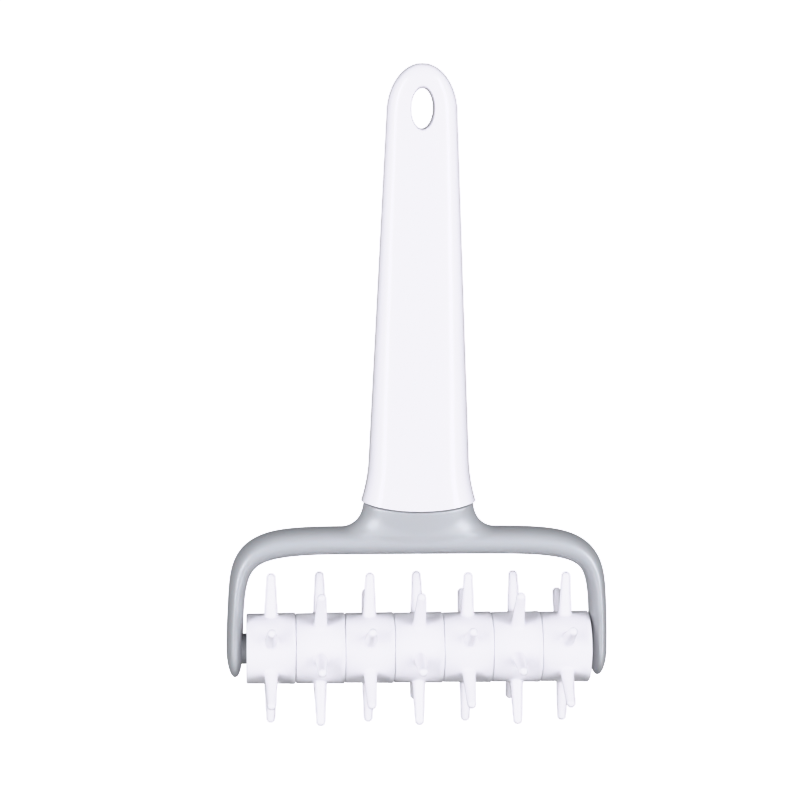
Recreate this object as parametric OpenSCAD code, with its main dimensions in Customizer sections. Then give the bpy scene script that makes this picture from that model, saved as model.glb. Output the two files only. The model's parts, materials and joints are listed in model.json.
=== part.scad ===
// Dough docker: seven spiked rings on a roller, a forked yoke that carries it, and a hollow
// sleeve that is the handle. It is drawn hanging upright from the hole in its handle.
// X runs along the roller, Z up the handle, and the side that faces the user looks towards -Y.
// The origin is the centre of the hang hole. Lengths are in millimetres, angles in degrees.
// Heights named here are counted up from the roller's axis, unless their comment says otherwise.

/* [Roller] */
// Number of spiked rings on the roller
ring_count = 7; // [5:2:9]
// Width of one ring
ring_w = 15; // [14:0.5:18]
// Gap between two neighbouring rings
ring_gap = 0.05; // [0.04:0.01:0.2]
// Diameter of a ring in the middle of its width
drum_d = 21; // [20.5:0.5:24]
// Growth of a ring's radius from its left end to its right end, the draft of its mould
drum_draft = 0.16; // [0:0.02:0.3]
// Number of pins round one ring
pin_count = 6; // [3:3:6]
// Radius that the tips of the pins reach
pin_reach = 24; // [19:0.5:25]
// Diameter of a pin where it leaves the ring
pin_root_d = 4; // [3:0.1:4.5]
// Diameter of a pin's round tip
pin_tip_d = 2.7; // [1.6:0.1:2.8]
// Radius of the fillet at a pin's foot
pin_fillet = 0.8; // [0.2:0.1:1]
// Angle of the first ring's front pin above the horizontal
pin_angle = 25; // [0:1:59]
// Number of sides of the core's outside, one for each place a ring can be turned to
core_sides = 12; // [12]
// Width of the core across its flats
core_flats = 15; // [14.6:0.1:15.4]
// Bore of the core
core_bore_d = 12; // [11.6:0.1:12.4]

/* [Yoke] */
// Thickness of an arm, along the roller
arm_thick = 5; // [4:0.1:6]
// Depth of an arm at the roller's axis, which is also its round end's diameter
arm_depth = 16.8; // [14:0.2:19]
// Amount by which an arm leans inwards on its way up to the crossbar
arm_lean = 1.1; // [0:0.1:2]
// Amount by which an arm's lower tip is turned inwards
arm_toe = 0.9; // [0:0.1:1.5]
// Height of the crossbar's middle line
bar_height = 33.7; // [32:0.1:36]
// Thickness of the crossbar, seen from the front
bar_thick = 8.2; // [6:0.1:10]
// Depth of the crossbar
bar_depth = 14.4; // [12:0.2:18]
// Squareness of the arch that the crossbar and the arms make, 2 being an ellipse
arch_power = 6; // [4:0.5:8]
// Width of the neck under the handle
neck_w = 33.4; // [30:0.2:34.4]
// Depth of the neck under the handle
neck_depth = 17.2; // [15:0.2:17.4]
// Width that the neck flares out to on the crossbar
neck_foot_w = 46; // [38:0.5:50]
// Diameter of the journals that the roller turns on
journal_d = 9.3; // [8:0.1:9.4]
// Length of a journal, from the arm's inner face
journal_len = 4.6; // [3.5:0.1:6]

/* [Handle] */
// Height of the handle's tip
handle_tip = 178; // [172:0.5:190]
// Height of the hang hole's centre
hole_height = 164.5; // [160:0.5:166]
// Width of the hang hole
hole_w = 7.2; // [5:0.1:9]
// Length of the hang hole
hole_len = 12.8; // [9:0.1:14]
// Radius of the hang hole's rounded edges
hole_edge = 1; // [0.5:0.1:1.5]
// Width of the handle where its round end starts
grip_top_w = 21.2; // [19:0.2:24]
// Width that the handle's straight sides would reach at the joint with the yoke
grip_base_w = 31.8; // [29:0.2:32]
// Depth of the handle round the hang hole
grip_top_depth = 8.8; // [8:0.1:11]
// Depth of the handle at the joint with the yoke
grip_base_depth = 16; // [15:0.2:19]
// Widening of each side towards the handle's lower rim
rim_flare = 1.65; // [1.4:0.05:2.5]
// Wall of the handle
grip_wall = 2.2; // [2:0.1:2.6]
// Height of the joint with the yoke, in the middle of the front
joint_height = 44.5; // [44:0.1:48]
// Radius of the curve that the joint follows across the front
joint_radius = 78; // [70:1:200]

/* [Fits] */
// Clearance round the journals
journal_gap = 0.05; // [0.02:0.01:0.1]
// Gap between an arm and the roller's end when the roller is in the middle
side_gap = 0.8; // [0.5:0.1:1.2]
// Distance that the roller has slid to the right in its side play
roller_shift = 0.3; // [-0.4:0.1:0.4]
// Clearance between the core and the rings
core_gap = 0.05; // [0.02:0.01:0.1]
// Interference of an end cap's plug in the core
plug_press = 0.02; // [0:0.01:0.03]
// Clearance between the tang and the inside of the handle
tang_gap = 0.2; // [0.1:0.05:0.3]
// Gap at the joint between handle and yoke
joint_gap = 0.05; // [0.02:0.01:0.1]

/* [Hidden] */
ring_names = [for (i = [1:ring_count]) str("spiked_ring_", i)];

white = [0.95, 0.95, 0.97];
grey = [0.75, 0.78, 0.81];

$fn = 64;
slack = 1;

ring_pitch = ring_w + ring_gap;
roller_len = ring_count * ring_pitch - ring_gap;
arm_x = roller_len / 2 + side_gap + arm_thick / 2;

// Step in a ring's outside where the two halves of its mould met, and the ring's broken edges
mould_line_w = 1;
mould_line_step = 0.08;
edge_break = 0.3;
// Round recess in each face of a ring, and the end cap's flange that fills the outermost ones
recess_d = 18;
recess_depth = 2;
flange_gap = 0.1;
plug_len = 8;
cap_bore_depth = 7;
core_corner_r = core_flats / 2 / cos(180 / core_sides);

// Squareness of a section of the yoke's arch and of the handle, 2 being an ellipse
bar_power = 2.15;
grip_power = 2.4;
// Points round a section of the yoke and of the handle, and the stations along them
bar_points = 32;
grip_points = 40;
core_points = 32;
tip_stations = 6;
// Share of one station by which the small end face stops short of the tip
tip_blunt = 0.4;
arch_stations = 26;

// Top of the crossbar, where the neck stands on it
neck_foot = bar_height + bar_thick / 2;
// Squareness of the neck seen from above, and its half depth in the middle of the crossbar
neck_power = 2.5;
neck_start = 7;
// Reach of the hollow between neck and crossbar, in front and at the neck's sides, where it grows
// with the foot's overhang
front_hollow = 2.2;
hollow_growth = 1.45;
side_hollow = hollow_growth * (neck_foot_w - neck_w) / 2;
// Height up to which the neck is drawn, past the joint that cuts it off
neck_top = joint_height + 6;
// Levels of the neck's skin above and below the crossbar's top
neck_levels = 11;
foot_levels = 7;
// Distance by which the neck's skin lies inside the crossbar, in front and added at the sides,
// where it leaves a soft corner
skin_sink = 0.04;
side_sink = 0.22;
// Distance that the neck's skin reaches along the bar, and the halvings that find a point of it
skin_reach = neck_foot_w / 2 + 4;
halvings = 15;

// The handle's rim flare: heights where it starts and where it is full, how fast it grows, and
// its share front to back
flare_top = 58;
flare_full = joint_height + 1.5;
flare_power = 1.8;
flare_depth_share = 0.6;
// Height where the round end starts, and the turn at which it stops short in a small flat
round_start = 163;
round_turn = 88;
// Height down from which the handle swells front to back, how fast, and the rounding of its top
depth_top = 160;
swell_power = 1.3;
depth_round = 5.5;
// Run-out of the hang hole's cutter past the handle's faces
hole_run_out = 3;
// Length of the cylinder that cuts the curved joint
joint_cut_len = 60;

// Tang inside the handle, and the handle's cavity with its drawn-in end
tang_root = joint_height - 1.5;
tang_top = 128;
tang_stations = 10;
cavity_top = 148;
cavity_draw = 1.2;
// Pockets in the tang's faces: their number, the ribs between them, the web behind and the cut
pocket_count = 6;
pocket_rib = 2.4;
pocket_web = 2;
pocket_start = 50;
pocket_reach = 12;
// Snap barbs on the tang's sides, and the room round them in the handle
barb_height = 84;
barb_len = 6;
barb_proud = 0.8;
barb_depth = 5;
barb_room = 0.2;

// Eases from 0 to 1 as x goes from a to b
function ease(x, a, b) = let (t = min(1, max(0, (x - a) / (b - a)))) t * t * (3 - 2 * t);

// One closed ring of points: half width a, half depth b, and a power that squares the ellipse
function squircle(a, b, power, n) = [
    for (i = [0:n - 1])
    let (c = cos(360 * i / n), s = sin(360 * i / n))
    [a * sign(c) * pow(abs(c), 2 / power), b * sign(s) * pow(abs(s), 2 / power)]
];

// Skin over a list of sections, each a ring of the same number of points
module skin(sections) {
    n = len(sections[0]);
    last = len(sections) - 1;
    sides = [
        for (k = [0:last - 1], i = [0:n - 1])
        [k * n + i, (k + 1) * n + i, (k + 1) * n + (i + 1) % n, k * n + (i + 1) % n]
    ];
    bottom = [for (i = [0:n - 1]) i];
    top = [for (i = [n - 1:-1:0]) last * n + i];
    polyhedron(points = [for (s = sections) each s], faces = concat([bottom], sides, [top]), convexity = 6);
}

// Moves what is drawn from the roller's axis to its place under the hang hole
module from_axis() {
    translate([0, 0, -hole_height])
    children();
}

// The yoke's arch

// Half of the arch's middle line, from the left arm at the axis (u = 0) to the crown (u = 1)
function arch_turn(u) = 90 * u * u * (3 - 2 * u);
function arch_height(u) = bar_height * pow(sin(arch_turn(u)), 2 / arch_power);
function arch_x(u) =
    -(arm_x - arm_lean * ease(arch_height(u), 0, bar_height)) * pow(max(0, cos(arch_turn(u))), 2 / arch_power);
function arch_point(u) = u <= 1
    ? [arch_x(u), arch_height(u)]
    : [-arch_x(2 - u), arch_height(2 - u)];

// Half thickness and half depth of the arch, which swells from the arms to the crossbar
function bar_share(u) = ease(u <= 1 ? u : 2 - u, 0.2, 0.75);
function arch_thick(u) = (arm_thick + (bar_thick - arm_thick) * bar_share(u)) / 2;
function arch_depth(u) = (arm_depth + (bar_depth - arm_depth) * bar_share(u)) / 2;

// Section of the arch across the middle line at p, which there runs along the unit vector d
function arch_section(p, d, thick, depth) = [
    for (q = squircle(thick, depth, bar_power, bar_points))
    [p[0] + q[0] * d[1], q[1], p[1] - q[0] * d[0]]
];

function unit(v) = v / norm(v);

// Round lower end of an arm, from the tip up to the axis on the left and back down on the right
function arm_end(side, k) =
    let (turn = 90 * (1 - (k + tip_blunt) / (tip_stations + tip_blunt)))
    arch_section(
        [side * (arm_x - arm_toe * pow(sin(turn), 2)), -arm_depth / 2 * sin(turn)],
        [0, -side],
        arm_thick / 2 * cos(turn),
        arm_depth / 2 * cos(turn)
    );

module arch() {
    step = 1 / arch_stations;
    skin(concat(
        [for (k = [0:tip_stations - 1]) arm_end(-1, k)],
        [for (i = [0:2 * arch_stations])
            let (u = i * step)
            let (ahead = arch_point(min(2, u + step / 2)))
            let (behind = arch_point(max(0, u - step / 2)))
            arch_section(arch_point(u), unit(ahead - behind), arch_thick(u), arch_depth(u))
        ],
        [for (k = [tip_stations - 1:-1:0]) arm_end(1, k)]
    ));
}

// Distance from a point to an oval of half sizes a and b, along the ray from the oval's centre
function oval_gap(x, y, a, b, power) =
    let (size = pow(pow(abs(x) / a, power) + pow(abs(y) / b, power), 1 / power))
    norm([x, y]) * (1 - 1 / max(size, 0.001));

// Distance from the point x, y at height h to the neck alone, and to the crossbar alone
function neck_gap(x, y, h) =
    let (share = (h - bar_height) / (joint_height - bar_height))
    oval_gap(x, y, neck_w / 2, neck_start + (neck_depth / 2 - neck_start) * share, neck_power);
function bar_gap(x, y, h) =
    let (middle = bar_height * pow(1 - pow(abs(x) / (arm_x - arm_lean), arch_power), 1 / arch_power))
    oval_gap(y, h - middle, bar_depth / 2, bar_thick / 2, bar_power);

// Distance to the neck and a crossbar sunk by sink, with a hollow of the given reach between them
function crown_gap(x, y, h, hollow, sink) =
    let (a = neck_gap(x, y, h), b = bar_gap(x, y, h) + sink)
    min(a, b) - pow(max(0, hollow - abs(a - b)), 2) / (4 * hollow);

// Length of the ray at height h along the unit vector d, from the neck's middle line to its skin
function crown_ray(d, h, hollow, sink, low, high, steps) =
    let (half = (low + high) / 2)
    let (inside = crown_gap(half * d[0], half * d[1], h, hollow, sink) < 0)
    steps == 0 ? half
    : crown_ray(d, h, hollow, sink, inside ? half : low, inside ? high : half, steps - 1);

// Level section of the neck and its hollow foot, which ends inside the crossbar
function crown_section(h) = [
    for (i = [0:grip_points - 1])
    let (d = unit([neck_foot_w * cos(360 * i / grip_points), neck_depth * sin(360 * i / grip_points)]))
    let (side = pow(d[0] / neck_w, 2) / (pow(d[0] / neck_w, 2) + pow(d[1] / neck_depth, 2)))
    let (full = front_hollow + (side_hollow - front_hollow) * side)
    let (hollow = 0.01 + full * ease(h, bar_height, neck_foot - 1))
    let (sink = skin_sink + side_sink * side * side)
    let (r = crown_ray(d, h, hollow, sink, 0, skin_reach, halvings))
    [r * d[0], r * d[1], h]
];

module neck() {
    below = [for (i = [foot_levels:-1:1]) neck_foot - (neck_foot - bar_height) * pow(i / foot_levels, 1.7)];
    above = [for (i = [1:neck_levels]) neck_foot + (neck_top - neck_foot) * pow(i / neck_levels, 2)];
    difference() {
        skin([for (h = concat(below, above)) crown_section(h)]);
        joint_cylinder(joint_radius);
    }
}

// Large cylinder whose lower side is the curved joint between yoke and handle
module joint_cylinder(r) {
    translate([0, 0, joint_height + joint_radius])
    rotate([90, 0, 0])
    cylinder(r = r, h = joint_cut_len, center = true, $fn = 360);
}

// Widening at the handle's lower rim, and the handle's half width and half depth
function flare(h) = rim_flare * pow(max(0, (flare_top - h) / (flare_top - flare_full)), flare_power);
function grip_side(h) =
    (grip_top_w + (grip_base_w - grip_top_w) * (round_start - h) / (round_start - joint_height)) / 2 + flare(h);
function grip_half_w(h) = h < round_start
    ? grip_side(h)
    : grip_top_w / 2 * sqrt(max(0, 1 - pow((h - round_start) / (handle_tip - round_start), 2)));
function grip_swell(h) =
    (grip_base_depth - grip_top_depth) / 2
    * pow(max(0, (depth_top - h) / (depth_top - joint_height)), swell_power)
    + flare_depth_share * flare(h);
function grip_half_depth(h) =
    let (d = max(0, h - handle_tip + depth_round) / depth_round)
    (grip_top_depth / 2 + grip_swell(h)) * sqrt(max(0, 1 - d * d));

// Section of the handle at height h, drawn in by an inset all round
function grip_section(h, inset, n) = [
    for (q = squircle(grip_half_w(h) - inset, grip_half_depth(h) - inset, grip_power, n)) [q[0], q[1], h]
];

// Tang that the handle is pushed over, cored out from both faces so that its walls stay even
module tang() {
    inset = grip_wall + tang_gap;
    pocket_pitch = (tang_top - pocket_rib - pocket_start) / pocket_count;
    difference() {
        skin([
            for (i = [0:tang_stations])
            grip_section(tang_root + (tang_top - tang_root) * i / tang_stations, inset, core_points)
        ]);
        for (i = [0:pocket_count - 1], face = [-1, 1])
        let (low = pocket_start + i * pocket_pitch)
        let (w = 2 * (grip_half_w(low + pocket_pitch) - inset - pocket_rib))
        translate([-w / 2, face > 0 ? pocket_web / 2 : -pocket_web / 2 - pocket_reach, low])
        cube([w, pocket_reach, pocket_pitch - pocket_rib]);
    }
    for (side = [-1, 1])
    barb(side, 0);
}

// Snap barb on the tang's side, or with a margin the pocket that it clicks into
module barb(side, margin) {
    root = grip_half_w(barb_height) - grip_wall - tang_gap - slack;
    proud = slack + tang_gap + barb_proud + margin;
    translate([0, barb_depth / 2 + margin, 0])
    rotate([90, 0, 0])
    linear_extrude(barb_depth + 2 * margin)
    polygon([
        [side * root, barb_height - margin],
        [side * (root + proud), barb_height - margin],
        [side * (root + proud), barb_height + margin],
        [side * root, barb_height + barb_len + margin]
    ]);
}

// Journal on the inner face of an arm, with a tapered tip that leads into the roller's end
module journal(side) {
    lead = 0.6;
    reach = arm_thick / 2 + journal_len;
    translate([side * arm_x, 0, 0])
    rotate([0, -side * 90, 0]) {
        cylinder(d = journal_d, h = reach - lead);
        translate([0, 0, reach - lead])
        cylinder(d1 = journal_d, d2 = journal_d - 2 * lead, h = lead);
    }
}

module yoke() {
    color(grey)
    from_axis() {
        arch();
        neck();
        tang();
        journal(-1);
        journal(1);
    }
}

// The hang hole with rounded edges, as a round plug that is squeezed to the hole's oval
module hang_hole() {
    half = grip_top_depth / 2;
    r = hole_w / 2;
    arc = [for (a = [0:15:90]) [r + hole_edge * (1 - cos(a)), half - hole_edge * (1 - sin(a))]];
    end = half + hole_run_out;
    profile = concat([[0, 0], [r, 0]], arc, [[r + hole_edge, end], [0, end]]);
    scale([1, 1, hole_len / hole_w])
    for (face = [-1, 1])
    rotate([face * 90, 0, 0])
    rotate_extrude($fn = 96)
    polygon(profile);
}

module handle_sleeve() {
    rim = joint_height - 1;
    flare_step = (flare_top - rim) / 12;
    round_steps = 12;
    levels = concat(
        [for (i = [0:11]) rim + i * flare_step],
        [for (i = [0:13]) flare_top + (round_start - flare_top) * i / 14],
        [for (i = [0:round_steps - 1])
            round_start + (handle_tip - round_start) * sin(round_turn * i / (round_steps - 1))]
    );
    color(white)
    difference() {
        from_axis()
        intersection() {
            skin([for (h = levels) grip_section(h, 0, grip_points)]);
            joint_cylinder(joint_radius - joint_gap);
        }
        from_axis()
        skin(concat(
            [for (i = [0:12]) let (h = joint_height - 2 + (cavity_top - joint_height) * i / 12)
                grip_section(h, grip_wall, core_points)],
            [grip_section(cavity_top, grip_wall + cavity_draw, core_points)]
        ));
        hang_hole();
        from_axis()
        for (side = [-1, 1])
        barb(side, barb_room);
    }
}

// The roller lies along X, with its left end at x = 0 before roller_place moves it
module roller_place() {
    translate([roller_shift - roller_len / 2, 0, -hole_height])
    children();
}

// Turns a shape drawn along Z so that it runs along X
module along_x() {
    rotate([0, 90, 0])
    children();
}

// Tapered pin with a round tip and a fillet at its foot, pointing up from the roller's axis
module pin() {
    root = drum_d / 2;
    tip_r = pin_tip_d / 2;
    ball = pin_reach - tip_r;
    foot = [for (a = [0:15:90]) [
        pin_root_d / 2 + pin_fillet * (1 - sin(a)),
        root + pin_fillet * (1 - cos(a))
    ]];
    tip = [for (a = [0:10:90]) [tip_r * cos(a), ball + tip_r * sin(a)]];
    rotate_extrude($fn = 32)
    polygon(concat([[0, root - slack], [pin_root_d / 2 + pin_fillet, root - slack]], foot, tip));
}

// Outside of a ring in half section: radius against the distance along the roller
module ring_shell() {
    left = drum_d / 2 - drum_draft / 2;
    right = drum_d / 2 + drum_draft / 2;
    rim = right - mould_line_step;
    step_at = ring_w - mould_line_w;
    rotate_extrude($fn = 96)
    polygon([
        [0, 0],
        [left - edge_break, 0],
        [left, edge_break],
        [right, step_at - mould_line_step],
        [rim, step_at],
        [rim, ring_w - edge_break],
        [rim - edge_break, ring_w],
        [0, ring_w]
    ]);
}

// One ring of the roller; its pins stand half a pitch further round on every second ring
module spiked_ring(i) {
    turn = pin_angle - (i % 2 == 0 ? 0 : 180 / pin_count);
    color(white)
    roller_place()
    translate([i * ring_pitch, 0, 0])
    difference() {
        union() {
            along_x()
            ring_shell();
            translate([ring_w / 2, 0, 0])
            for (k = [0:pin_count - 1])
            rotate([90 - turn - 360 * k / pin_count, 0, 0])
            pin();
        }
        rotate([-pin_angle, 0, 0])
        along_x()
        translate([0, 0, -slack])
        cylinder(r = core_corner_r + core_gap, h = ring_w + 2 * slack, $fn = core_sides);
        along_x()
        translate([0, 0, -slack])
        cylinder(d = recess_d, h = recess_depth + slack);
        along_x()
        translate([0, 0, ring_w - recess_depth])
        cylinder(d = recess_d, h = recess_depth + slack);
    }
}

// Tube with twelve flats that the rings are threaded on
module roller_core() {
    core_len = roller_len - 2 * recess_depth;
    color(white)
    roller_place()
    translate([recess_depth, 0, 0])
    difference() {
        rotate([-pin_angle, 0, 0])
        along_x()
        cylinder(r = core_corner_r, h = core_len, $fn = core_sides);
        along_x()
        translate([0, 0, -slack])
        cylinder(d = core_bore_d, h = core_len + 2 * slack);
    }
}

// Cap that is pressed into the core's end, holds the rings on and turns on a journal
module end_cap(side) {
    color(white)
    roller_place()
    translate([side < 0 ? 0 : roller_len, 0, 0])
    mirror([side > 0 ? 1 : 0, 0, 0])
    along_x()
    difference() {
        union() {
            cylinder(d = recess_d - 2 * flange_gap, h = recess_depth);
            cylinder(r = core_bore_d / 2 + plug_press, h = recess_depth + plug_len);
        }
        translate([0, 0, -slack])
        cylinder(r = journal_d / 2 + journal_gap, h = cap_bore_depth + slack);
    }
}

yoke();
handle_sleeve();
roller_core();
end_cap(-1);  // end_cap_left
end_cap(1);  // end_cap_right
for (i = [0:ring_count - 1])
spiked_ring(i);
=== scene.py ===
# %% [markdown]
# # Dressing a dough docker
#
# A dough docker is a small hand tool: a roller of spiked plastic rings turns in a forked yoke,
# and the yoke ends in a flat handle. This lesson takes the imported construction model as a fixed
# frame and gives every part the outline, the soft edges and the moulded finish of the real thing.
#
# The frame comes first. It says where every part is, so nothing here has to be fitted by eye.

# %% Load the frame
import json
import math

import bpy
from mathutils import Matrix, Vector

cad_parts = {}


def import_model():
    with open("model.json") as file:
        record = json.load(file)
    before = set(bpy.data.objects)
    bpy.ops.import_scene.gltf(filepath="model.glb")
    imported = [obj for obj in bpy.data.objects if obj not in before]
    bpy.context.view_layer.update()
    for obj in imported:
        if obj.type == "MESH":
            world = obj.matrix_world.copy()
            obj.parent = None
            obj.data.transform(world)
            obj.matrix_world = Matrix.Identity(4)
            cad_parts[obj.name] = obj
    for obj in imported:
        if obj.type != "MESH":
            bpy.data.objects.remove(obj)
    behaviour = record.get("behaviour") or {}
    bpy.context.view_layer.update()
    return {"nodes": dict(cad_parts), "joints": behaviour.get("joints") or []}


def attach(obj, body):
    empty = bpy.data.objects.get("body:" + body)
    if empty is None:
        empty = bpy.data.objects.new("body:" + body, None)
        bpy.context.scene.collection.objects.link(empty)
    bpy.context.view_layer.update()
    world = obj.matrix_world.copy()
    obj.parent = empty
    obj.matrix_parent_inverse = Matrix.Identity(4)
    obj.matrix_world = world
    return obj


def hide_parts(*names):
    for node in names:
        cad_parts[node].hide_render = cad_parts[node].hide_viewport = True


MM = 0.001

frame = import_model()
spin_joint = frame["joints"][0]
AXLE_Z = spin_joint["pos_m"][2]

# %% [markdown]
# ## The camera
#
# The photograph looks at the tool from the left of its middle and from a little above. The
# camera's place, its turn and its lens were found by matching the tips of the pins and the
# outline of the handle. A long lens keeps the handle's sides nearly straight.

# %% Place the camera
CAMERA_X = -53.6 * MM
CAMERA_Y = -721.6 * MM
CAMERA_ABOVE_AXLE = 181.05 * MM
CAMERA_PITCH = -0.1434
CAMERA_YAW = -0.0654
CAMERA_ROLL = -0.0011
LENS_MM = 108.54
SENSOR_MM = 36.0

camera_data = bpy.data.cameras.new("camera")
camera_data.lens = LENS_MM
camera_data.sensor_width = SENSOR_MM
camera = bpy.data.objects.new("camera", camera_data)
bpy.context.scene.collection.objects.link(camera)
camera.matrix_world = (
    Matrix.Translation((CAMERA_X, CAMERA_Y, AXLE_Z + CAMERA_ABOVE_AXLE))
    @ Matrix.Rotation(math.pi / 2 + CAMERA_PITCH, 4, "X")
    @ Matrix.Rotation(CAMERA_YAW, 4, "Y")
    @ Matrix.Rotation(CAMERA_ROLL, 4, "Z")
)
bpy.context.scene.camera = camera
view_line = camera.matrix_world.to_3x3() @ Vector((0, 0, -1))
print("camera looks along", [round(v, 3) for v in view_line])

# %% [markdown]
# ## Small helpers for modelling
#
# Every part here grows from one closed ring of points. The ring is extruded, resized and turned
# from station to station, as a modeller does by hand with E, S and R. Three short functions do
# that, and each part's own cell holds only its list of stations. All of them work in edit mode on
# what is selected, so everything is deselected before a new ring starts.

# %% Ring, step and close
NO_CHANGE = 1e-9


def rest_selection():
    """Leaves edit mode and deselects everything, so that the next tool acts on its own piece"""
    if bpy.context.object and bpy.context.object.mode != "OBJECT":
        bpy.ops.object.mode_set(mode="OBJECT")
    bpy.ops.object.select_all(action="DESELECT")


def start_ring(name, half_w, half_d, power, points, place):
    """A squared oval ring, flat in X and Y round `place`, left selected in edit mode"""
    rest_selection()
    bpy.ops.mesh.primitive_circle_add(
        vertices=points, radius=1, fill_type="NOTHING", location=(0, 0, 0)
    )
    ring = bpy.context.object
    ring.name = name
    for vertex in ring.data.vertices:
        x, y = vertex.co.x, vertex.co.y
        vertex.co.x = math.copysign(abs(x) ** (2 / power), x) * half_w + place[0]
        vertex.co.y = math.copysign(abs(y) ** (2 / power), y) * half_d + place[1]
        vertex.co.z = place[2]
    bpy.ops.object.mode_set(mode="EDIT")
    bpy.ops.mesh.select_all(action="SELECT")
    return ring


def step_ring(move, centre, factors):
    """Extrudes the selected ring by `move` and resizes the new one about `centre`"""
    bpy.ops.mesh.extrude_region_move(TRANSFORM_OT_translate={"value": tuple(move)})
    if max(abs(f - 1) for f in factors) > NO_CHANGE:
        bpy.ops.transform.resize(value=tuple(factors), center_override=tuple(centre))


def close_ring():
    """Draws the selected ring together into one point"""
    bpy.ops.mesh.merge(type="CENTER")


# %% Finish a mesh
DOUBLES_WITHIN = 0.002 * MM
SMOOTH_UNDER = 35


def finish_mesh(piece, angle=SMOOTH_UNDER):
    """Merges doubles, points the faces outwards and shades the piece smooth up to an edge angle"""
    bpy.ops.object.mode_set(mode="EDIT")
    bpy.ops.mesh.select_all(action="SELECT")
    bpy.ops.mesh.remove_doubles(threshold=DOUBLES_WITHIN)
    bpy.ops.mesh.normals_make_consistent(inside=False)
    bpy.ops.object.mode_set(mode="OBJECT")
    bpy.ops.object.shade_smooth_by_angle(angle=math.radians(angle))
    print(piece.name, len(piece.data.polygons), "faces")


# %% [markdown]
# ## The handle sleeve
#
# The handle is a hollow white moulding that is pushed over the yoke's tang. Seen from the front
# its sides run straight, flare out at the lower rim and close in a half oval at the top. Seen
# from the side it swells towards the yoke. Both are formulas of the height over the roller's
# axis, so one walk up the handle gives the whole skin. The walk starts inside, comes down the
# wall, turns round the rim and goes up outside, which gives the wall its thickness without a
# modifier.

# %% Outline of the handle
TIP = 178.0
ROUND_START = 163.0
JOINT = 44.0
JOINT_CURVE = 78.0
FLARE_TOP = 58.0
FLARE_FULL = JOINT + 1.5
FLARE_POWER = 1.8
TOP_HALF_W = 10.6
BASE_HALF_W = 15.9
TOP_HALF_D = 4.4
BASE_HALF_D = 8.0
RIM_FLARE = 1.65
RIM_FLARE_D = 0.6 * RIM_FLARE
DEPTH_TOP = 160.0
DEPTH_POWER = 1.3
DEPTH_ROUND = 5.5
WALL = 2.2
CAVITY_TOP = 148.0
GRIP_POWER = 2.4
SIDE_LIFT = 1.6


def flare(height):
    """Share of the rim's flare at a height"""
    return max(0.0, (FLARE_TOP - height) / (FLARE_TOP - FLARE_FULL)) ** FLARE_POWER


def grip_half_w(height):
    """Half width of the handle at a height over the axle, in millimetres"""
    if height >= ROUND_START:
        rise = (height - ROUND_START) / (TIP - ROUND_START)
        return TOP_HALF_W * math.sqrt(max(0.0, 1 - rise * rise))
    share = (ROUND_START - height) / (ROUND_START - JOINT)
    return TOP_HALF_W + (BASE_HALF_W - TOP_HALF_W) * share + RIM_FLARE * flare(height)


def grip_half_d(height):
    """Half depth of the handle at a height over the axle, in millimetres"""
    share = max(0.0, (DEPTH_TOP - height) / (DEPTH_TOP - JOINT)) ** DEPTH_POWER
    plain = TOP_HALF_D + (BASE_HALF_D - TOP_HALF_D) * share + RIM_FLARE_D * flare(height)
    end = max(0.0, height - TIP + DEPTH_ROUND) / DEPTH_ROUND
    return plain * math.sqrt(max(0.0, 1 - end * end))


widths = [round(2 * grip_half_w(height), 1) for height in (JOINT, FLARE_TOP, ROUND_START)]
print("handle's width at rim, flare and shoulder", widths, "mm")

# %% Stations up the handle
RIM_ROUND = 0.25
RIM_END = JOINT + 0.9
CAVITY_RIM = JOINT + 1
TIP_LEAD = ROUND_START - 6
CAVITY_STEPS = 16
FLARE_STEPS = 14
SIDE_STEPS = 30
LEAD_STEPS = 6
TIP_STEPS = 26


def ease(x, low, high):
    """Runs softly from 0 to 1 as x goes from low to high"""
    t = min(1.0, max(0.0, (x - low) / (high - low)))
    return t * t * (3 - 2 * t)


def spread(first, last, steps):
    """Evenly spaced values from first to last, both included"""
    return [first + (last - first) * i / steps for i in range(steps + 1)]


def turns(first, last, step):
    """Angles in radians from a first to a last degree, both included"""
    return [math.radians(degrees) for degrees in range(first, last + 1, step)]


def raised(height):
    """Height at which the outline is read: near the rim the sides sit higher than the middle"""
    return height + SIDE_LIFT * (1 - ease(height, JOINT, FLARE_TOP))


def grip_stations():
    """Pairs of height and inset from the outside, from the cavity round the rim to the tip"""
    stations = [(height, WALL) for height in spread(CAVITY_TOP, CAVITY_RIM, CAVITY_STEPS)]
    stations.append((JOINT, WALL - RIM_ROUND))
    for turn in turns(-90, 0, 18):
        height = JOINT + RIM_ROUND * (1 + math.sin(turn))
        stations.append((height, RIM_ROUND * (1 - math.cos(turn))))
    outside = spread(RIM_END, FLARE_TOP, FLARE_STEPS)
    outside += spread(FLARE_TOP, TIP_LEAD, SIDE_STEPS)[1:]
    outside += spread(TIP_LEAD, ROUND_START, LEAD_STEPS)[1:]
    for i in range(1, TIP_STEPS):
        outside.append(ROUND_START + (TIP - ROUND_START) * math.sin(math.pi / 2 * i / TIP_STEPS))
    return stations + [(height, 0) for height in outside]


def section_size(station):
    """Half width and half depth of the handle's skin at a station"""
    height, inset = station
    at = raised(height) if height < FLARE_TOP else height
    return grip_half_w(at) - inset, grip_half_d(at) - inset


stations = grip_stations()
print("handle's stations", len(stations))

# %% Walk the skin of the handle
GRIP_POINTS = 96


def world(point):
    """A point over the axle in millimetres, as a place in the scene"""
    return Vector((point[0] * MM, point[1] * MM, AXLE_Z + point[2] * MM))


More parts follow.
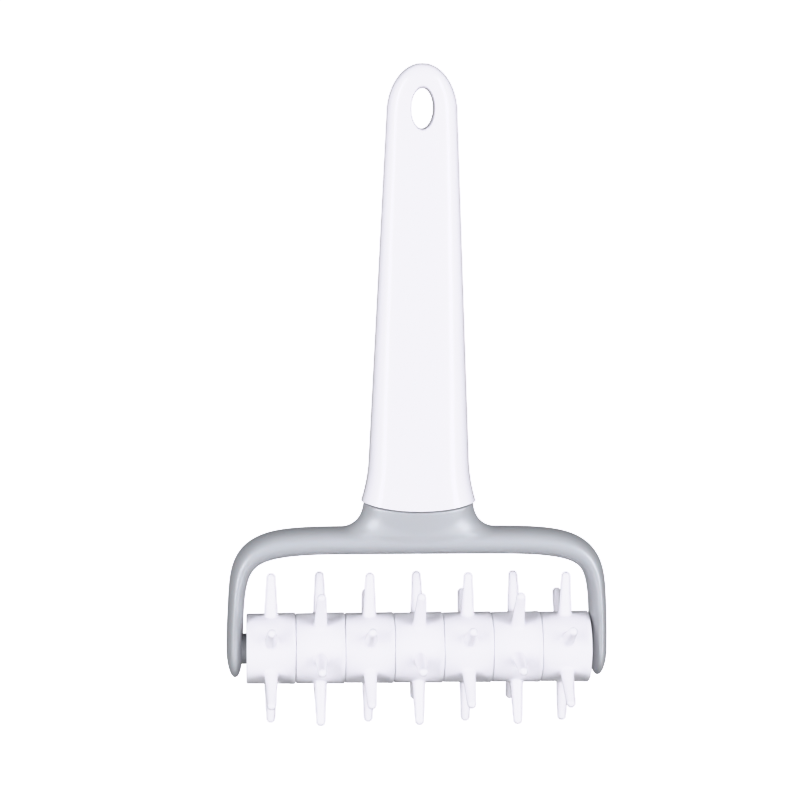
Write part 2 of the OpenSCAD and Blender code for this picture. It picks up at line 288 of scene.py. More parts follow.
half_w, half_d = section_size(stations[0])
start = world((0, 0, stations[0][0]))
sleeve = start_ring("handle_grip", half_w * MM, half_d * MM, GRIP_POWER, GRIP_POINTS, start)
bpy.ops.mesh.edge_face_add()
for before, after in zip(stations, stations[1:]):
    old, new = section_size(before), section_size(after)
    factors = (new[0] / old[0], new[1] / old[1], 1)
    step_ring((0, 0, (after[0] - before[0]) * MM), world((0, 0, after[0])), factors)
close_ring()
bpy.ops.object.mode_set(mode="OBJECT")
for vertex in sleeve.data.vertices:
    over_axle = (vertex.co.z - AXLE_Z) / MM
    x = vertex.co.x / MM
    sag = JOINT_CURVE - math.sqrt(JOINT_CURVE**2 - x * x)
    vertex.co.z += sag * (1 - ease(over_axle, JOINT, FLARE_TOP)) * MM
finish_mesh(sleeve)

# %% [markdown]
# ## Helpers for tools and cuts
#
# A hole is cut with a solid of the hole's own shape, and what belongs to one moulding is joined
# the same way. Such a tool is turned as on a lathe, put into place, used once and removed. Its
# place goes into its mesh, so that the piece's own coordinates stay those of the frame.

# %% Turned tools, places and cuts
def turned_piece(name, shape, points, capped=True):
    """Walks a round ring up Z through pairs of height and radius, as on a lathe"""
    height, radius = shape[0]
    piece = start_ring(name, radius * MM, radius * MM, 2, points, (0, 0, height * MM))
    if capped:
        bpy.ops.mesh.edge_face_add()
    for before, after in zip(shape, shape[1:]):
        factor = after[1] / before[1]
        step_ring((0, 0, (after[0] - before[0]) * MM), (0, 0, after[0] * MM), (factor, factor, 1))
    return piece


def activate(piece):
    """Makes one piece the only selected and active one"""
    rest_selection()
    piece.select_set(True)
    bpy.context.view_layer.objects.active = piece


def settle(piece, rotation=(0, 0, 0), location=(0, 0, 0), scale=(1, 1, 1)):
    """Turns, stretches and moves a piece, and puts that into its mesh"""
    piece.rotation_euler = rotation
    piece.location = location
    piece.scale = scale
    activate(piece)
    bpy.ops.object.transform_apply(location=True, rotation=True, scale=True)


def fix_place():
    """Puts the place of the primitive just added into its mesh, and gives the piece back"""
    bpy.ops.object.transform_apply(location=True, rotation=True, scale=True)
    return bpy.context.object


def combine(piece, tool, operation):
    """Adds a tool solid to the piece or cuts it out of it, and removes the tool"""
    activate(piece)
    boolean = piece.modifiers.new("combine", "BOOLEAN")
    boolean.operation = operation
    boolean.solver = "EXACT"
    boolean.object = tool
    bpy.ops.object.modifier_apply(modifier=boolean.name)
    bpy.data.objects.remove(tool)


# %% [markdown]
# ## The hang hole
#
# The hole at the top is an oval whose edges roll in deeply, where the mould's two halves met
# round a core. The cutter has the same shape as that core: straight in the middle and
# trumpet-mouthed at both ends. Each mouth is a quarter of a flat oval, much deeper than wide, and
# its steep part is the thin dark line round the hole. It is walked along Y as a round ring and
# then stretched to the oval.

# %% Cut the hang hole
HOLE_HALF_W = 3.4
HOLE_LONG = 12.0
HOLE_STRETCH = HOLE_LONG / (2 * HOLE_HALF_W)
HOLE_EDGE_W = 0.6
HOLE_EDGE_D = 2.8
HOLE_HEIGHT = 164.65
HOLE_POINTS = 96
CUTTER_REACH = 3.0
CUTTER_WIDER = 0.2


def hole_profile():
    """Pairs of place through the handle and radius of the cutter"""
    half = TOP_HALF_D
    front = []
    for turn in turns(0, 90, 10):
        reach = half - HOLE_EDGE_D * (1 - math.sin(turn))
        front.append((reach, HOLE_HALF_W + HOLE_EDGE_W * (1 - math.cos(turn))))
    front.append((half + CUTTER_REACH, HOLE_HALF_W + HOLE_EDGE_W + CUTTER_WIDER))
    return [(-reach, radius) for reach, radius in reversed(front)] + front


cutter = turned_piece("hole_cutter", hole_profile(), HOLE_POINTS)
bpy.ops.object.mode_set(mode="OBJECT")
settle(cutter, (math.pi / 2, 0, 0), world((0, 0, HOLE_HEIGHT)), (1, HOLE_STRETCH, 1))
finish_mesh(cutter)
combine(sleeve, cutter, "DIFFERENCE")
finish_mesh(sleeve)

# %% [markdown]
# ## The yoke
#
# The grey yoke is one moulding: a neck, a gently arched crossbar and two arms that end in rounded
# paddles. The arch follows a squared ellipse, leaning in towards the top. A ring is walked along
# it, turned at every station so that it stays square to the path.

# %% Path of the arch
ROLLER_LEN = 105.3
SIDE_GAP = 0.8
ARM_THICK = 5.0
ARM_LEAN = 1.1
BAR_HEIGHT = 33.7
ARCH_POWER = 6.4
ARM_X = ROLLER_LEN / 2 + SIDE_GAP + ARM_THICK / 2


def arch_point(u):
    """Point of the arch's middle line: the left arm is at 0, the crown at 1, the right arm at 2"""
    side = -1 if u <= 1 else 1
    v = u if u <= 1 else 2 - u
    turn = math.pi / 2 * v * v * (3 - 2 * v)
    height = BAR_HEIGHT * math.sin(turn) ** (2 / ARCH_POWER)
    reach = ARM_X - ARM_LEAN * ease(height, 0, BAR_HEIGHT)
    return Vector((side * reach * max(0.0, math.cos(turn)) ** (2 / ARCH_POWER), 0, height))


print("arms span", round(2 * ARM_X + ARM_THICK, 2), "mm, bar at", BAR_HEIGHT, "mm over the axle")

# %% Sections of the arch
ARM_DEPTH = 16.8
ARM_TOE = 0.2
ARM_END = 8.8
BAR_THICK = 8.2
BAR_DEPTH = 14.4
THICKEN_FROM = 0.08
THICKEN_TO = 0.68
ARCH_STEPS = 48
END_STEPS = 10


def arch_size(u):
    """Half thickness and half depth of the arch"""
    share = ease(u if u <= 1 else 2 - u, THICKEN_FROM, THICKEN_TO)
    thick = ARM_THICK + (BAR_THICK - ARM_THICK) * share
    depth = ARM_DEPTH + (BAR_DEPTH - ARM_DEPTH) * share
    return thick / 2, depth / 2


def arm_end(side, k):
    """Centre, heading and size of the sections that round off an arm's lower end"""
    turn = math.pi / 2 * (1 - (k + 0.5) / (END_STEPS + 0.5))
    centre = Vector((side * (ARM_X - ARM_TOE * math.sin(turn) ** 2), 0, -ARM_END * math.sin(turn)))
    heading = 0.0 if side < 0 else math.pi
    return centre, heading, ARM_THICK / 2 * math.cos(turn), ARM_DEPTH / 2 * math.cos(turn)


def arch_stations():
    """Centre, heading (turn from +Z towards +X) and size of every section of the arch"""
    found = [arm_end(-1, k) for k in range(END_STEPS)]
    half_step = 0.5 / ARCH_STEPS
    for i in range(2 * ARCH_STEPS + 1):
        u = i / ARCH_STEPS
        ahead = arch_point(min(2.0, u + half_step)) - arch_point(max(0.0, u - half_step))
        found.append((arch_point(u), math.atan2(ahead.x, ahead.z), *arch_size(u)))
    return found + [arm_end(1, k) for k in reversed(range(END_STEPS))]


# %% Walk the arch
ARCH_RING = 40
ARCH_SECTION_POWER = 2.15
track = arch_stations()
foot, _, thick, depth = track[0]
section = (thick * MM, depth * MM, ARCH_SECTION_POWER)
arch = start_ring("yoke_moulding", *section, ARCH_RING, world(foot))
bpy.ops.mesh.edge_face_add()
for before, after in zip(track, track[1:]):
    place = world(after[0])
    swell = after[2] / before[2]
    step_ring(place - world(before[0]), place, (swell, after[3] / before[3], swell))
    turn = after[1] - before[1]
    if abs(turn) > NO_CHANGE:
        bpy.ops.transform.rotate(value=-turn, orient_axis="Y", center_override=tuple(place))
finish_mesh(arch)

# %% [markdown]
# ## The neck and its hollow foot
#
# On the real yoke the crossbar rises into the neck through one soft hollow, wide at the sides and
# shallow in front. A remesh with some smoothing would round the corner too, but nobody could say
# by how much. Here the hollow is a formula of two distances, one to the plain neck and one to the
# plain crossbar: where both are small, their blend lies a little further out. The neck is walked
# up as level rings, and every point then moves along its own ray to where the blend is zero. Its
# top is cut round, and a hair lower than the handle's rim, so that a thin shadow marks the joint.

# %% Distances to neck and crossbar
NECK_HALF_W = 16.7
NECK_HALF_D = 8.6
NECK_START_HALF_D = 7.0
NECK_POWER = 2.5
LEAST_SIZE = 0.001


def oval_gap(x, y, half_w, half_d, power):
    """Distance from a point to an oval, along the ray from the oval's centre"""
    size = (abs(x / half_w) ** power + abs(y / half_d) ** power) ** (1 / power)
    return math.hypot(x, y) * (1 - 1 / max(size, LEAST_SIZE))


def crown_gap(x, y, height, hollow, sink):
    """Distance to neck and sunk crossbar with a hollow of the given reach between them"""
    share = (height - BAR_HEIGHT) / (JOINT - BAR_HEIGHT)
    half_d = NECK_START_HALF_D + (NECK_HALF_D - NECK_START_HALF_D) * share
    neck_gap = oval_gap(x, y, NECK_HALF_W, half_d, NECK_POWER)
    middle = BAR_HEIGHT * (1 - abs(x / (ARM_X - ARM_LEAN)) ** ARCH_POWER) ** (1 / ARCH_POWER)
    bar_gap = oval_gap(y, height - middle, BAR_DEPTH / 2, BAR_THICK / 2, ARCH_SECTION_POWER) + sink
    return min(neck_gap, bar_gap) - max(0.0, hollow - abs(neck_gap - bar_gap)) ** 2 / (4 * hollow)


# %% Reach of the skin
NECK_FOOT_HALF_W = 23.0
NECK_FOOT = BAR_HEIGHT + BAR_THICK / 2
FRONT_HOLLOW = 2.2
SIDE_HOLLOW = 1.45 * (NECK_FOOT_HALF_W - NECK_HALF_W)
LEAST_HOLLOW = 0.01
HOLLOW_FULL = NECK_FOOT - 1
SKIN_SINK = 0.04
SIDE_SINK = 0.22
SKIN_REACH = NECK_FOOT_HALF_W + 4
SKIN_HALVINGS = 20


def crown_reach(direction, height):
    """Length of the ray in a direction at a height, from the neck's middle line to the skin"""
    across = (direction.x / NECK_HALF_W) ** 2
    along = (direction.y / NECK_HALF_D) ** 2
    side = across / (across + along)
    full = FRONT_HOLLOW + (SIDE_HOLLOW - FRONT_HOLLOW) * side
    hollow = LEAST_HOLLOW + full * ease(height, BAR_HEIGHT, HOLLOW_FULL)
    sink = SKIN_SINK + SIDE_SINK * side * side
    low, high = 0.0, SKIN_REACH
    for _ in range(SKIN_HALVINGS):
        half = (low + high) / 2
        if crown_gap(half * direction.x, half * direction.y, height, hollow, sink) < 0:
            low = half
        else:
            high = half
    return low


print("hollow", round(SIDE_HOLLOW, 2), "mm at the sides and", FRONT_HOLLOW, "mm in front")

# %% Walk the neck up and fit it to the hollow
NECK_TOP = JOINT + 6
NECK_RING = 128
FOOT_STEPS = 16
FOOT_CROWD = 1.7
WALL_STEPS = 34
WALL_CROWD = 2


def crowded(first, last, steps, power):
    """Values on the way from first to last, crowded towards the first, which is left out"""
    return [first + (last - first) * (i / steps) ** power for i in range(1, steps + 1)]


levels = crowded(NECK_FOOT, BAR_HEIGHT, FOOT_STEPS, FOOT_CROWD)[::-1]
levels += crowded(NECK_FOOT, NECK_TOP, WALL_STEPS, WALL_CROWD)
start = world((0, 0, levels[0]))
neck = start_ring("neck", NECK_FOOT_HALF_W * MM, NECK_HALF_D * MM, 2, NECK_RING, start)
bpy.ops.mesh.edge_face_add()
for before, after in zip(levels, levels[1:]):
    step_ring((0, 0, (after - before) * MM), world((0, 0, after)), (1, 1, 1))
bpy.ops.object.mode_set(mode="OBJECT")
for vertex in neck.data.vertices:
    direction = Vector((vertex.co.x, vertex.co.y)).normalized()
    reach = crown_reach(direction, (vertex.co.z - AXLE_Z) / MM) * MM
    vertex.co.x, vertex.co.y = direction * reach
finish_mesh(neck)

# %% Cut the curved joint
JOINT_CUT_LEN = 60.0
JOINT_CUT_POINTS = 720
JOINT_GAP = 0.28
rest_selection()
bpy.ops.mesh.primitive_cylinder_add(
    vertices=JOINT_CUT_POINTS,
    radius=JOINT_CURVE * MM,
    depth=JOINT_CUT_LEN * MM,
    location=world((0, 0, JOINT - JOINT_GAP + JOINT_CURVE)),
    rotation=(math.pi / 2, 0, 0),
)
joint_tool = fix_place()
combine(neck, joint_tool, "DIFFERENCE")
print("neck cut, faces", len(neck.data.polygons))

# %% Join neck and arch under one fine skin
VOXEL = 0.34 * MM
EVEN_SHARE = 0.5
EVEN_TIMES = 12
combine(arch, neck, "UNION")
activate(arch)
remesh = arch.modifiers.new("fine_skin", "REMESH")
remesh.mode = "VOXEL"
remesh.voxel_size = VOXEL
bpy.ops.object.modifier_apply(modifier=remesh.name)
even = arch.modifiers.new("even_out", "SMOOTH")
even.factor = EVEN_SHARE
even.iterations = EVEN_TIMES
bpy.ops.object.modifier_apply(modifier=even.name)
print("yoke skin", len(arch.data.polygons), "faces")

# %% [markdown]
# ## Journals and tang
#
# Two short journals stand on the inner faces of the arms, and the roller turns on them. Inside
# the handle the yoke goes on as a tang, cored out with pockets from both faces, because a thick
# lump of plastic would sink as it cools. Both belong to the same moulding, so they are joined to
# it.

# %% Journals
JOURNAL_R = 4.65
JOURNAL_LEN = 4.6
JOURNAL_LEAD = 0.6
JOURNAL_POINTS = 64


def journal_tool(side):
    """A journal with a tapered tip, from the middle of the arm inwards"""
    reach = ARM_THICK / 2 + JOURNAL_LEN
    tip = [(reach - JOURNAL_LEAD, JOURNAL_R), (reach, JOURNAL_R - JOURNAL_LEAD)]
    piece = turned_piece("journal", [(0, JOURNAL_R), *tip], JOURNAL_POINTS)
    bpy.ops.object.mode_set(mode="OBJECT")
    settle(piece, (0, -side * math.pi / 2, 0), world((side * ARM_X, 0, 0)))
    finish_mesh(piece)
    return piece


for side in (-1, 1):
    combine(arch, journal_tool(side), "UNION")

# %% Tang
TANG_ROOT = JOINT - 1.5
TANG_TOP = 128.0
TANG_GAP = 0.2
TANG_INSET = WALL + TANG_GAP
TANG_STEPS = 10
TANG_POINTS = 48


def tang_size(height):
    """Half width and half depth of the tang at a height over the axle"""
    return grip_half_w(height) - TANG_INSET, grip_half_d(height) - TANG_INSET


tang_levels = spread(TANG_ROOT, TANG_TOP, TANG_STEPS)
half_w, half_d = tang_size(TANG_ROOT)
start = world((0, 0, TANG_ROOT))
tang = start_ring("tang", half_w * MM, half_d * MM, GRIP_POWER, TANG_POINTS, start)
bpy.ops.mesh.edge_face_add()
for before, after in zip(tang_levels, tang_levels[1:]):
    old, new = tang_size(before), tang_size(after)
    factors = (new[0] / old[0], new[1] / old[1], 1)
    step_ring((0, 0, (after - before) * MM), world((0, 0, after)), factors)
finish_mesh(tang)

# %% Pockets of the tang
POCKET_COUNT = 6
POCKET_START = 50.0
POCKET_RIB = 2.4
POCKET_WEB = 2.0
POCKET_REACH = 12.0
YOKE_SMOOTH_UNDER = 50
pocket_pitch = (TANG_TOP - POCKET_RIB - POCKET_START) / POCKET_COUNT
for i in range(POCKET_COUNT):
    low = POCKET_START + i * pocket_pitch
    high = low + pocket_pitch - POCKET_RIB
    half = grip_half_w(low + pocket_pitch) - TANG_INSET - POCKET_RIB
    for face in (-1, 1):
        rest_selection()
        middle = face * (POCKET_WEB / 2 + POCKET_REACH / 2)
        bpy.ops.mesh.primitive_cube_add(
            size=1,
            location=world((0, middle, (low + high) / 2)),
            scale=(2 * half * MM, POCKET_REACH * MM, (high - low) * MM),
        )
        combine(tang, fix_place(), "DIFFERENCE")
combine(arch, tang, "UNION")
finish_mesh(arch, angle=YOKE_SMOOTH_UNDER)

# %% [markdown]
# ## The spiked rings
#
# Seven identical rings sit side by side on the core. Each is a short drum with a slight draft,
# soft edges, a fine raised band where its mould parted, and six tapered pins with round tips. One
# ring is modelled on the world's X axis and copied, and each copy is turned so that its pins
# stand half a pitch from its neighbours'. An arc at the pin's foot is the fillet that lets the
# real one leave its mould whole, and the foot is bent down to follow the round drum.

# %% One ring: profile of the drum
RING_W = 15.0
DRUM_R = 10.74
DRAFT = 0.08
MOULD_LINE_W = 1.7
MOULD_STEP = 0.05
MOULD_STEP_RUN = 0.08
EDGE = 0.5
RECESS_R = 9.0
RECESS_DEPTH = 2.0
BORE_START_R = 6.5


def drum_profile():
    """Pairs of place along the ring and radius, once round the ring's cut face"""
    left, right = DRUM_R - DRAFT, DRUM_R + DRAFT
    rim = right + MOULD_STEP
    step_at = RING_W - MOULD_LINE_W
    soft = []
    for turn in turns(0, 90, 30):
        soft.append((EDGE * (1 - math.sin(turn)), EDGE * (1 - math.cos(turn))))
    left_edge = [(inset, left - fall) for inset, fall in reversed(soft)]
    right_edge = [(RING_W - inset, rim - fall) for inset, fall in soft]
    hollow = [(RECESS_DEPTH, BORE_START_R), (RECESS_DEPTH, RECESS_R), (0, RECESS_R)]
    hollow_right = [(RING_W - place, radius) for place, radius in reversed(hollow)]
    step = [(step_at - MOULD_STEP_RUN, right), (step_at, rim)]
    return hollow + left_edge + step + right_edge + hollow_right


shape = drum_profile()
print("drum's profile", len(shape), "points, radius", round(max(r for _, r in shape), 2), "mm")

# %% One ring: walk the drum
DRUM_POINTS = 120
DRUM_TURN = 1.1
drum = turned_piece("ring", shape, DRUM_POINTS, capped=False)
step_ring((0, 0, (shape[0][0] - shape[-1][0]) * MM), (0, 0, 0), (1, 1, 1))
bpy.ops.object.mode_set(mode="OBJECT")
settle(drum, (0, math.pi / 2, 0))
settle(drum, (math.radians(DRUM_TURN), 0, 0))
finish_mesh(drum)

# %% One ring: cut the core's seat
CORE_SIDES = 12
CORE_FLAT_R = 7.5
CORE_PLAY = 0.05
SEAT_CUT_LEN = 3 * RING_W
CORE_CORNER_R = CORE_FLAT_R / math.cos(math.pi / CORE_SIDES) + CORE_PLAY
rest_selection()
bpy.ops.mesh.primitive_cylinder_add(
    vertices=CORE_SIDES,
    radius=CORE_CORNER_R * MM,
    depth=SEAT_CUT_LEN * MM,
    rotation=(0, math.pi / 2, 0),
)
combine(drum, fix_place(), "DIFFERENCE")
print("drum with its seat", len(drum.data.polygons), "faces")

# %% One ring: the pins
PIN_COUNT = 6
PIN_ROOT_R = 2.0
PIN_TIP_R = 1.35
PIN_REACH = 24.0
PIN_FILLET = 0.8
PIN_POINTS = 40
PIN_SUNK = 1
RING_SMOOTH_UNDER = 40


def pin_profile():
    """Pairs of distance from the axis and radius, from inside the drum to the round tip"""
    ball = PIN_REACH - PIN_TIP_R
    wide = PIN_ROOT_R + PIN_FILLET
    found = [(DRUM_R - PIN_SUNK, wide)]
    for turn in turns(0, 90, 10):
        rise = PIN_FILLET * (1 - math.cos(turn))
        found.append((DRUM_R + rise, wide - PIN_FILLET * math.sin(turn)))
    for turn in turns(0, 84, 12):
        found.append((ball + PIN_TIP_R * math.sin(turn), PIN_TIP_R * math.cos(turn)))
    return found


def bend_foot(pin):
    """Lowers the fillet at the pin's foot by as much as the drum falls away beside it"""
    for vertex in pin.data.vertices:
        fall = DRUM_R * MM - math.sqrt((DRUM_R * MM) ** 2 - vertex.co.y**2)
        vertex.co.z -= fall * (1 - ease(vertex.co.z / MM, DRUM_R, DRUM_R + 2 * PIN_FILLET))


pins = []
for k in range(PIN_COUNT):
    pin = turned_piece("pin", pin_profile(), PIN_POINTS)
    close_ring()
    bpy.ops.object.mode_set(mode="OBJECT")
    bend_foot(pin)
    settle(pin, (2 * math.pi * k / PIN_COUNT, 0, 0), (RING_W / 2 * MM, 0, 0))
    finish_mesh(pin)
    pins.append(pin)
for pin in pins:
    combine(drum, pin, "UNION")
finish_mesh(drum, angle=RING_SMOOTH_UNDER)

# %% Copy the ring along the roller
RING_COUNT = 7
RING_PITCH = 15.05
ROLLER_SHIFT = 0.3
PIN_ANGLE = 25.0
rings = []
for i in range(RING_COUNT):
    if i < RING_COUNT - 1:
        activate(drum)
        bpy.ops.object.duplicate()
        ring = bpy.context.object
    else:
        ring = drum
    turn = PIN_ANGLE - (i % 2) * 180 / PIN_COUNT
    ring.name = f"ring_{i + 1}"
    ring.data.name = ring.name
    place = world((ROLLER_SHIFT - ROLLER_LEN / 2 + i * RING_PITCH, 0, 0))
    settle(ring, (math.radians(90 - turn), 0, 0), place)
    rings.append(ring)
print("rings", [ring.name for ring in rings])

# %% [markdown]
# ## Shader maths as expressions
#
# A finish is easier to read as a formula than as a web of nodes. `Wire` wraps one output of a
# node, and the usual operators on it add Math nodes. `NodeWeb` adds any other node with one
# method, and feeds the shader that the web ends in. `Finish` is the web of one material, with the
# textures that the finishes share. What never changes over a surface is a constant on the
# shader's own socket.

# %% Wire
class Wire:
    """One output of a node, on which +, - and * add Math nodes"""

    def __init__(self, web, socket):
        self.web = web
        self.socket = socket

    def maths(self, operation, first, second):
        return self.web.add("ShaderNodeMath", {"operation": operation}, {0: first, 1: second})

    def __add__(self, other):
        return self.maths("ADD", self, other)

    def __sub__(self, other):
        return self.maths("SUBTRACT", self, other)

    def __rsub__(self, other):
        return self.maths("SUBTRACT", other, self)

    def __mul__(self, other):
        return self.maths("MULTIPLY", self, other)

    __radd__ = __add__
    __rmul__ = __mul__


# %% NodeWeb
class NodeWeb:
    """A tree of nodes that are added one call at a time, and the shader that it ends in"""

    def __init__(self, tree, shader):
        self.tree = tree
        self.shader = tree.nodes[shader]

    def add(self, kind, settings, inputs, output=0):
        """Adds a node with its settings, sets or links its inputs, and gives back one output"""
        node = self.tree.nodes.new(kind)
        for setting, value in settings.items():
            if setting == "interpolation":
                node.color_ramp.interpolation = value
            elif setting == "stops":
                for element, (at, colour) in zip(node.color_ramp.elements, value):
                    element.position = at
                    element.color = (*colour, 1)
            else:
                setattr(node, setting, value)
        for socket, value in inputs.items():
            if isinstance(value, Wire):
                self.tree.links.new(value.socket, node.inputs[socket])
            else:
                node.inputs[socket].default_value = value
        return Wire(self, node.outputs[output])

    def feed(self, socket, wire):
        """Connects a wire to one socket of the shader"""
        self.tree.links.new(wire.socket, self.shader.inputs[socket])


# %% Finish
MIX_SHARE, MIX_FIRST_COLOUR, MIX_SECOND_COLOUR, MIX_COLOUR_OUT = 0, 6, 7, 2


class Finish(NodeWeb):
    """The nodes of one material, with the textures that several finishes share"""

    def __init__(self, name, **constants):
        self.material = bpy.data.materials.new(name)
        self.material.use_nodes = True
        super().__init__(self.material.node_tree, "Principled BSDF")
        for socket, value in constants.items():
            self.shader.inputs[socket.replace("_", " ")].default_value = value
        self.place = self.add("ShaderNodeTexCoord", {}, {}, "Object")

    def cloud(self, size_mm, detail):
        """Smooth noise whose lumps are about size_mm across"""
        inputs = {"Vector": self.place, "Scale": 1 / (size_mm * MM), "Detail": detail}
        return self.add("ShaderNodeTexNoise", {}, inputs, "Fac")

    def tint(self, share, first, second):
        """Blends two colours by a share from 0 to 1"""
        inputs = {MIX_SHARE: share, MIX_FIRST_COLOUR: (*first, 1), MIX_SECOND_COLOUR: (*second, 1)}
        return self.add("ShaderNodeMix", {"data_type": "RGBA"}, inputs, MIX_COLOUR_OUT)

    def relief(self, height, depth_mm):
        """Bump from a height wire, whose full swing is depth_mm deep"""
        inputs = {"Height": height, "Distance": depth_mm * MM}
        self.feed("Normal", self.add("ShaderNodeBump", {}, inputs, "Normal"))


# %% [markdown]
# ## Finishes
#
# All three finishes are moulded plastic, and they differ in colour, texture and gloss. Handle and
# rings are nearly the same cool white. The handle has a very fine spark texture and slow sink
# marks, the rings a softer waviness. Over both lies a clear gloss: at the outline it mirrors the
# dark back of the studio, which draws the thin dark edge round the white parts. The yoke is a
# soft blue-grey with a coarser, more matt texture and no such gloss. The plastics let a little
# light in, most of all the thin pins of the rings, so each has a small subsurface weight on its
# own socket.

# %% White handle
HANDLE_WHITES = (0.865, 0.848, 0.91), (0.895, 0.878, 0.935)


def handle_finish():
    """Cool white with a spark texture under a clear gloss"""
    finish = Finish(
        "white_handle_plastic",
        IOR=1.49,
        Coat_Weight=1.0,
        Coat_Roughness=0.12,
        Subsurface_Weight=0.05,
        Subsurface_Radius=(1, 0.9, 0.85),
        Subsurface_Scale=0.8 * MM,
    )
    slow = finish.cloud(size_mm=28, detail=1)
    fine = finish.cloud(size_mm=0.22, detail=1)
    speck = finish.cloud(size_mm=1.4, detail=3)
    finish.feed("Base Color", finish.tint(slow, *HANDLE_WHITES))
    finish.feed("Roughness", 0.28 + 0.1 * speck + 0.06 * slow)
    finish.relief(0.55 * fine + 0.45 * speck, depth_mm=0.006)
    return finish.material


# %% White rings
RING_WHITES = (0.862, 0.845, 0.905), (0.892, 0.875, 0.93)


def ring_finish():
    """Cool white that lets some light in, under a thinner gloss"""
    finish = Finish(
        "white_ring_plastic",
        IOR=1.5,
        Coat_Weight=0.5,
        Coat_Roughness=0.12,
        Subsurface_Weight=0.25,
        Subsurface_Radius=(1, 0.95, 0.92),
        Subsurface_Scale=1.8 * MM,
    )
    slow = finish.cloud(size_mm=9, detail=2)
    speck = finish.cloud(size_mm=0.8, detail=3)
    finish.feed("Base Color", finish.tint(slow, *RING_WHITES))
    finish.feed("Roughness", 0.26 + 0.1 * speck + 0.06 * slow)
    finish.relief(0.6 * slow + 0.4 * speck, depth_mm=0.008)
    return finish.material


# %% Grey yoke
YOKE_GREYS = (0.395, 0.405, 0.434), (0.425, 0.435, 0.464)


def yoke_finish():
    """Soft blue-grey with a fine matt grain"""
    finish = Finish(
        "grey_yoke_plastic",
        Specular_IOR_Level=1.0,
        IOR=1.49,
        Subsurface_Weight=0.05,
        Subsurface_Scale=0.5 * MM,
    )
    slow = finish.cloud(size_mm=22, detail=2)
    grain = finish.cloud(size_mm=0.3, detail=2)
    speck = finish.cloud(size_mm=1.1, detail=3)
    finish.feed("Base Color", finish.tint(0.7 * slow + 0.3 * speck, *YOKE_GREYS))
    finish.feed("Roughness", 0.34 + 0.08 * grain + 0.05 * slow)
    finish.relief(0.7 * grain + 0.3 * speck, depth_mm=0.012)
    return finish.material


# %% Paint every part
white_handle = handle_finish()
white_ring = ring_finish()
grey_yoke = yoke_finish()


def paint(piece, material):
    """Gives a piece its one finish"""
    piece.data.materials.clear()
    piece.data.materials.append(material)


paint(sleeve, white_handle)
paint(arch, grey_yoke)
for ring in rings:
    paint(ring, white_ring)
for node in ("roller_core", "end_cap_left", "end_cap_right"):
    for slot in frame["nodes"][node].material_slots:
        slot.material = white_ring
print("finishes", white_handle.name, white_ring.name, grey_yoke.name)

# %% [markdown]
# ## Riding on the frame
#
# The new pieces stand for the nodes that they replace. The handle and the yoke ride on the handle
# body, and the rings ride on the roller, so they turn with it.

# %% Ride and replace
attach(sleeve, "handle")
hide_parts("handle_sleeve")
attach(arch, "handle")
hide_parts("yoke")
for i, ring in enumerate(rings):
    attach(ring, "roller")
    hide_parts(f"spiked_ring_{i + 1}")
print("riding", [piece.name for piece in (sleeve, arch, *rings)])

# %% [markdown]
# ## Studio
#
# The photograph has a plain white ground with no shadows on it, and the tool's own edges are a
# little darker than its faces. A white room would light those edges as well and wash them out. So
# the pale floor and wall are seen by the camera and lit by nothing, and bounced light passes
# through them.

# %% Floor and wall in one round cove
FLOOR_DROP = 0.32
COVE_RADIUS = 3.0
COVE_WALL = 4.0
COVE_ROUND = 1.2
COVE_POINTS = 128
COVE_SEGMENTS = 16
GROUND_GLOW = 2.1
GROUND_DARKS = (0.02, 0.02, 0.02), (0.03, 0.03, 0.03)
GROUND_WHITES = (0.985, 0.985, 0.99), (1.0, 1.0, 1.0)


def ground_finish():
    """White ground that glows by itself and takes no light"""
    finish = Finish("pale_ground", Roughness=0.9, Emission_Strength=GROUND_GLOW)
    soft = finish.cloud(size_mm=600, detail=1)
    finish.feed("Base Color", finish.tint(soft, *GROUND_DARKS))
    finish.feed("Emission Color", finish.tint(soft, *GROUND_WHITES))
    return finish.material


rest_selection()
bpy.ops.mesh.primitive_circle_add(
    vertices=COVE_POINTS,
    radius=COVE_RADIUS,
    fill_type="NGON",
    location=(0, 0, AXLE_Z - FLOOR_DROP),
)
cove = fix_place()
cove.name = "cove"
bpy.ops.object.mode_set(mode="EDIT")
bpy.ops.mesh.select_mode(type="EDGE")
bpy.ops.mesh.select_all(action="SELECT")
bpy.ops.mesh.extrude_edges_move(TRANSFORM_OT_translate={"value": (0, 0, COVE_WALL)})
bpy.ops.mesh.select_mode(type="VERT")
bpy.ops.mesh.select_all(action="SELECT")
bpy.ops.mesh.normals_make_consistent(inside=True)
bpy.ops.object.mode_set(mode="OBJECT")
corner = cove.modifiers.new("round_corner", "BEVEL")
corner.width = COVE_ROUND
corner.segments = COVE_SEGMENTS
bpy.ops.object.modifier_apply(modifier=corner.name)
bpy.ops.object.shade_smooth_by_angle(angle=math.radians(SMOOTH_UNDER))
paint(cove, ground_finish())
cove.visible_diffuse = False
cove.visible_glossy = False
cove.visible_transmission = False
cove.visible_shadow = False
print("cove", len(cove.data.polygons), "faces")

# %% [markdown]
# ## Lamps and sky
#
# The tool was most likely photographed in a light tent: bright cloth in front and above, and dark
# behind. The sky here is the same thing as a formula. The direction is compared with a tilted
# pole that points into the dark, and a soft ramp goes from there to the bright front. That gives
# the thin dark outlines and the dark journals between arm and roller. Two tall narrow lamps add
# the soft light bands that run down the arms. A weak lamp fills the underside. One more stands
# behind the tool, right opposite the camera, where it lights the back and almost nothing that the
# camera sees. No gloss mirrors these two. Each lamp is given by its name, its angle round the
# tool, its rise over the axle and its size.

# %% Lamps
LAMP_AWAY = 1.3
LAMP_AIM = 0.06


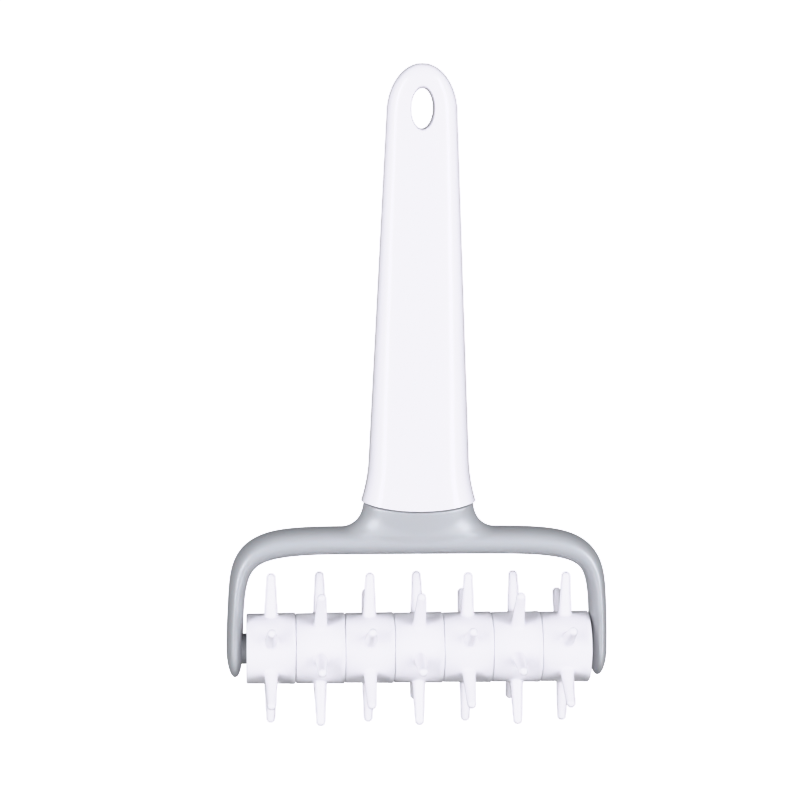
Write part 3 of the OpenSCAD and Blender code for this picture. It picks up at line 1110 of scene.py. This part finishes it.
def soft_lamp(name, angle, rise, power, wide, tall, shine=True):
    """A soft lamp that faces the tool; the angle in degrees runs from the front to the right"""
    turn = math.radians(angle)
    place = Vector((LAMP_AWAY * math.sin(turn), -LAMP_AWAY * math.cos(turn), AXLE_Z + rise))
    data = bpy.data.lights.new(name, "AREA")
    data.shape = "RECTANGLE"
    data.size = wide
    data.size_y = tall
    data.energy = power
    lamp = bpy.data.objects.new(name, data)
    bpy.context.scene.collection.objects.link(lamp)
    lamp.location = place
    aim = Vector((0, 0, AXLE_Z + LAMP_AIM)) - place
    lamp.rotation_euler = aim.to_track_quat("-Z", "Y").to_euler()
    lamp.visible_camera = False
    lamp.visible_glossy = shine


soft_lamp("front_left", angle=-43, rise=0.24, power=11, wide=0.3, tall=1.2)
soft_lamp("front_right", angle=43, rise=0.24, power=11.4, wide=0.3, tall=1.2)
soft_lamp("below", angle=0, rise=-1.1, power=0.6, wide=0.6, tall=0.4, shine=False)
soft_lamp("back", angle=176, rise=-0.26, power=22, wide=0.3, tall=0.3, shine=False)

# %% Sky
SKY_FRONT = (0.6, 0.613, 0.63)
SKY_BACK = (0.045, 0.047, 0.05)
SKY_STOPS = [(0.4, SKY_BACK), (0.65, SKY_FRONT)]
SKY_TILT = math.radians(24)
DARK_POLE = (0, math.cos(SKY_TILT), -math.sin(SKY_TILT))

sky = bpy.data.worlds.new("studio")
sky.use_nodes = True
web = NodeWeb(sky.node_tree, "Background")
towards = web.add("ShaderNodeTexCoord", {}, {}, "Generated")
compare = {"operation": "DOT_PRODUCT"}
dark = web.add("ShaderNodeVectorMath", compare, {0: towards, 1: DARK_POLE}, "Value")
ramp = {"interpolation": "EASE", "stops": SKY_STOPS}
web.feed("Color", web.add("ShaderNodeValToRGB", ramp, {0: 0.5 - 0.5 * dark}))
bpy.context.scene.world = sky
print("sky nodes", len(web.tree.nodes))

# %% [markdown]
# ## Tone of the whites
#
# White plastic on a white ground leaves little room between bright and clipped. A camera's curve
# presses the highlights together there and keeps the greys apart, so the same is done here, one
# curve for each colour channel. The blue one runs a trace higher, as the whites in the photograph
# do.

# %% Tone curves
WHITE_LEVEL = 2.0
TONE = [
    (0.15, 0.3), (0.3, 0.6), (0.36, 0.715), (0.42, 0.805),
    (0.5, 0.875), (0.6, 0.91), (0.75, 0.93), (0.9, 0.96),
]
WHITE_TINT = (1.0, 0.994, 1.022)
TINT_FROM = 0.3
TINT_FULL = 0.5
view = bpy.context.scene.view_settings
view.view_transform = "Standard"
view.use_curve_mapping = True
view.curve_mapping.white_level = (WHITE_LEVEL, WHITE_LEVEL, WHITE_LEVEL)
for curve, gain in zip(view.curve_mapping.curves, WHITE_TINT):
    for level, tone in TONE:
        curve.points.new(level, tone * (1 + (gain - 1) * ease(level, TINT_FROM, TINT_FULL)))
view.curve_mapping.update()
print("tone curves", [len(curve.points) for curve in view.curve_mapping.curves])
